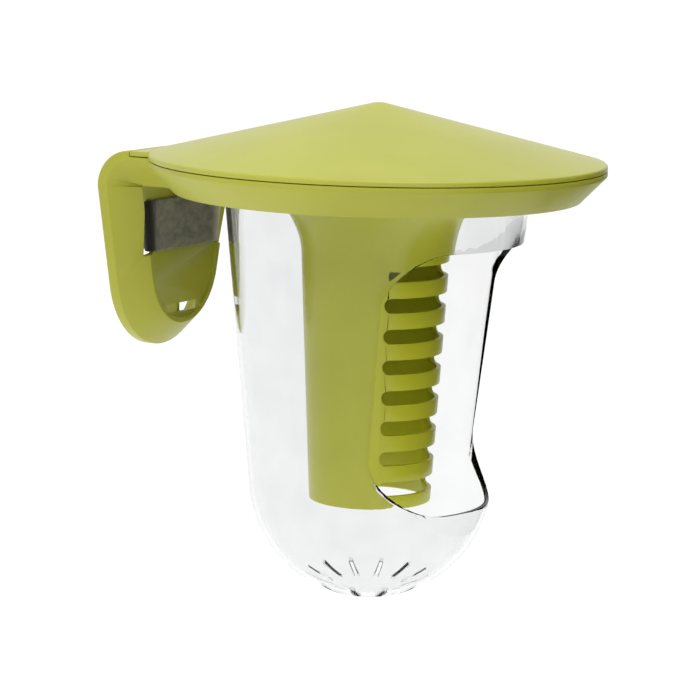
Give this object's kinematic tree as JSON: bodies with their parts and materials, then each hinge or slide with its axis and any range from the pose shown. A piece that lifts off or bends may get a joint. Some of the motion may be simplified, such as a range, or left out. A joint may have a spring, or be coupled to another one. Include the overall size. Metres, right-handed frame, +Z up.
{
  "type": "pheromone insect trap",
  "caption": "Wall-mounted or strapped insect trap: conical roof on a chamfered carrier and bracket, clear twist-off cup with a side window, slotted flared bait tube and a lure cage.",
  "frame": {"origin": "centre of the flat foot of the bracket that bears on the wall or post", "axes": "+Z up; the wall is the plane y = 0 and the trap hangs in front of it, towards -Y; +X to the right seen from the front"},
  "size_m": [0.216, 0.231, 0.2367],
  "materials": {
    "carrier_plastic": "satin moulded lime green",
    "roof_plastic": "satin moulded lime green, paler",
    "tube_plastic": "semi-gloss moulded lime green",
    "clear_plastic": "clear polished plastic",
    "strap_felt": "brushed loop fabric",
    "hook_tape": "hook tape",
    "cage_plastic": "white moulded",
    "lure_rubber": "matt rubber"
  },
  "bodies": {
    "carrier": {"carrier_shell": "carrier_plastic", "strap_band": "strap_felt", "strap_hook_patch": "hook_tape"},
    "roof": {"roof_lid": "roof_plastic", "lure_cage": "cage_plastic"},
    "tube": {"bait_tube": "tube_plastic"},
    "cup": {"clear_cup": "clear_plastic"},
    "lure_plug": {"lure_cap": "cage_plastic", "lure_septum": "lure_rubber"}
  },
  "joints": [
    {"name": "roof_lift", "type": "slide", "parent": "carrier", "child": "roof", "axis": [0, 0, 1], "range_m": [0, 0.2]},
    {"name": "tube_turn", "type": "hinge", "parent": "roof", "child": "tube", "pos_m": [0, -0.123, 0], "axis": [0, 0, -1], "range_deg": [0, 25]},
    {"name": "cup_turn", "type": "hinge", "parent": "carrier", "child": "cup", "pos_m": [0, -0.123, 0], "axis": [0, 0, -1], "range_deg": [0, 25]},
    {"name": "lure_plug_pull", "type": "slide", "parent": "roof", "child": "lure_plug", "axis": [0, 0, -1], "range_m": [0, 0.03]}
  ]
}
